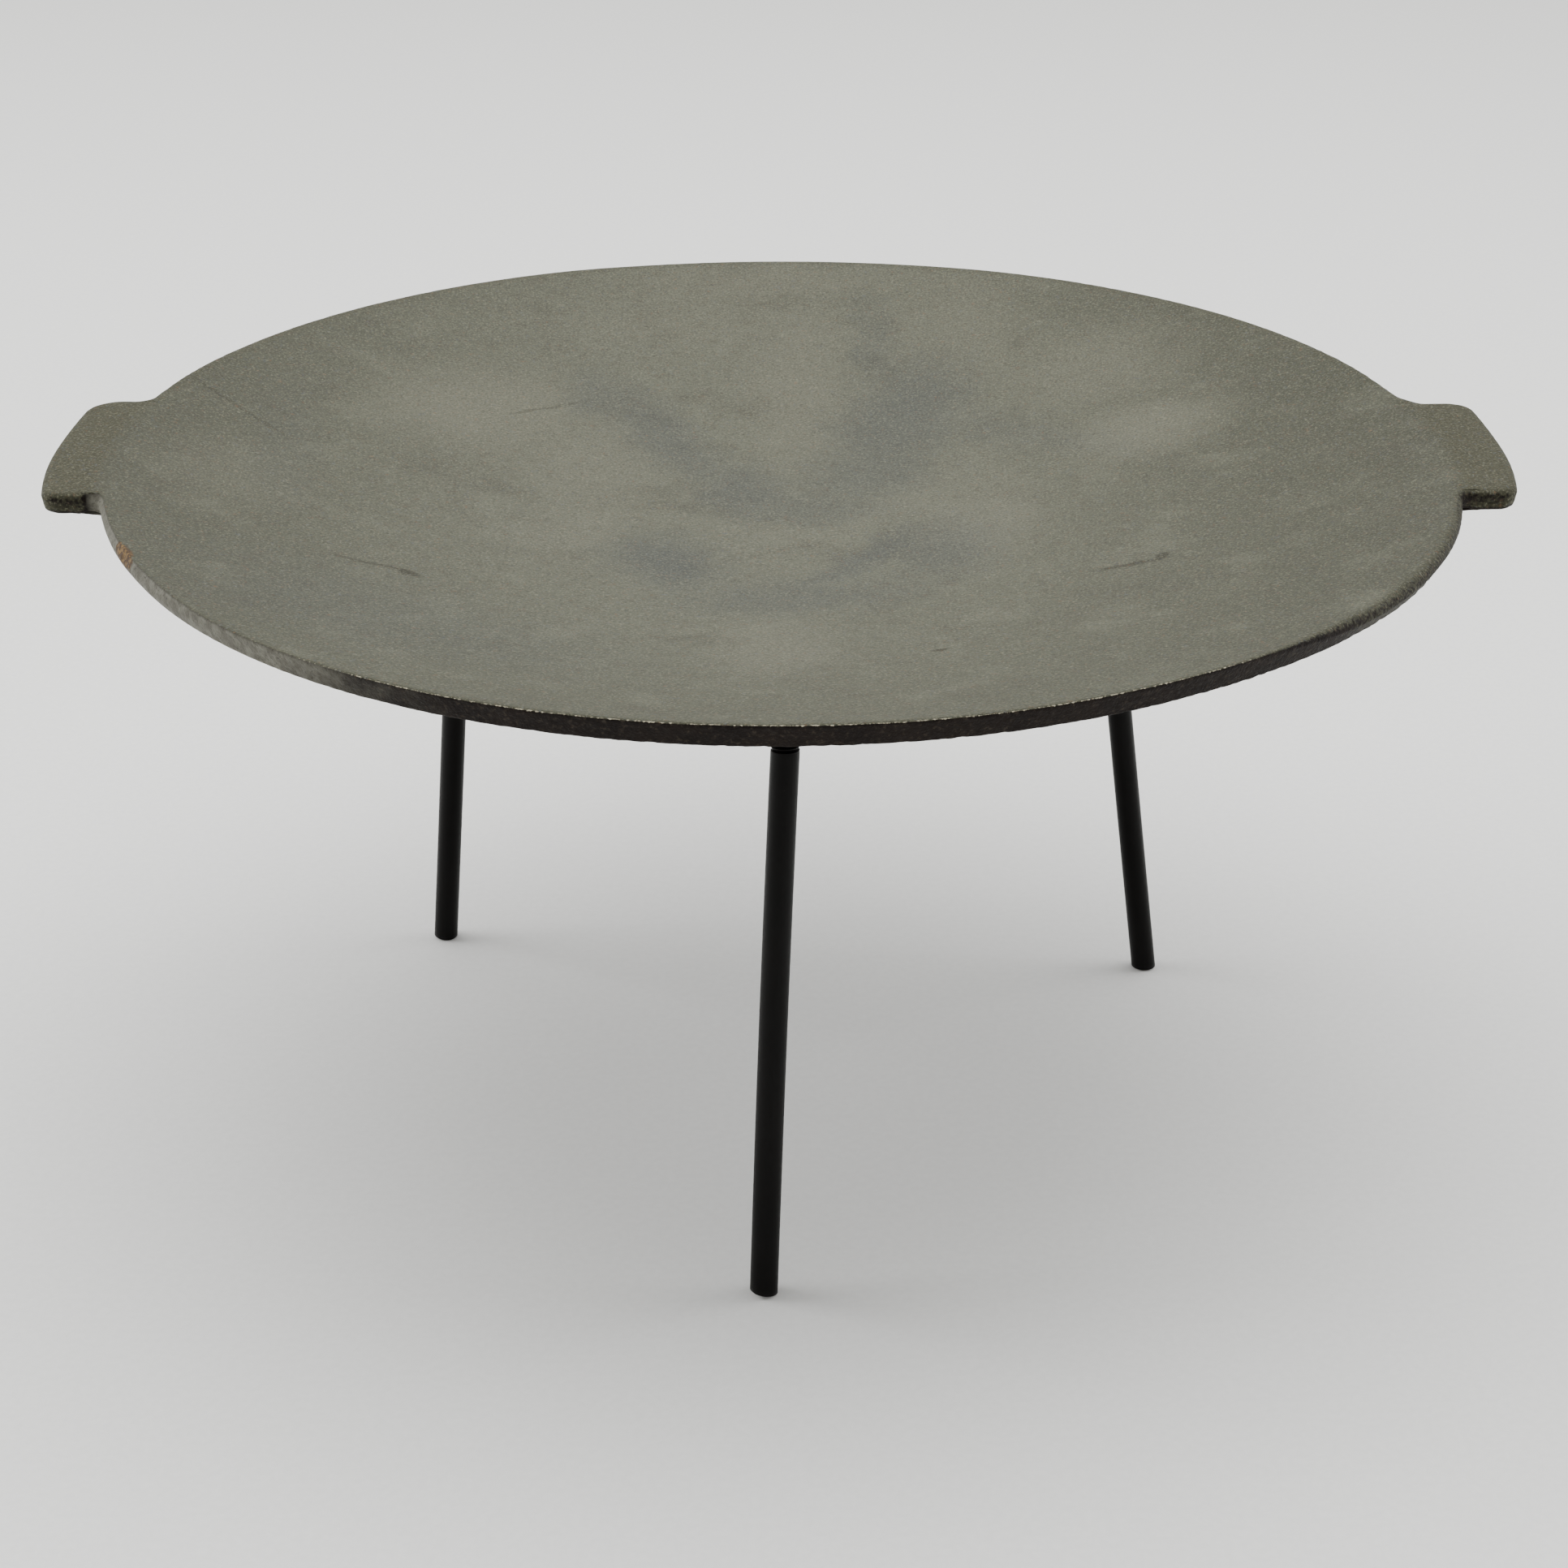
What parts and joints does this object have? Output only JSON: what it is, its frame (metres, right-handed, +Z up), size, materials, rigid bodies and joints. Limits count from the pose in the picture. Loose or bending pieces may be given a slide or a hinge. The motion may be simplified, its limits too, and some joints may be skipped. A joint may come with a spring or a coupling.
{
  "type": "campfire griddle",
  "caption": "Shallow round cast-iron griddle dish with an ear handle at each side, standing over a fire on screw-in round steel legs.",
  "frame": {"origin": "on the ground, under the middle of the dish", "axes": "+X runs through the right-hand ear, +Y away from the front leg, +Z up"},
  "size_m": [0.5412, 0.5, 0.256],
  "materials": {
    "cast_iron": "matte sand-cast, lightly oiled, olive grey",
    "black_steel": "satin black heat-proof coating on round steel bar"
  },
  "bodies": {
    "dish": {"dish": "cast_iron"},
    "leg_front": {"leg_front": "black_steel"},
    "leg_right": {"leg_right": "black_steel"},
    "leg_left": {"leg_left": "black_steel"}
  },
  "joints": [
    {"name": "leg_front_unscrew", "type": "slide", "parent": "dish", "child": "leg_front", "axis": [-0.0376, -0.1412, -0.9893], "range_m": [0, 0.02]},
    {"name": "leg_right_unscrew", "type": "slide", "parent": "dish", "child": "leg_right", "axis": [0.1276, -0.0462, -0.9907], "range_m": [0, 0.02]},
    {"name": "leg_left_unscrew", "type": "slide", "parent": "dish", "child": "leg_left", "axis": [-0.0839, 0.0707, -0.994], "range_m": [0, 0.02]}
  ]
}
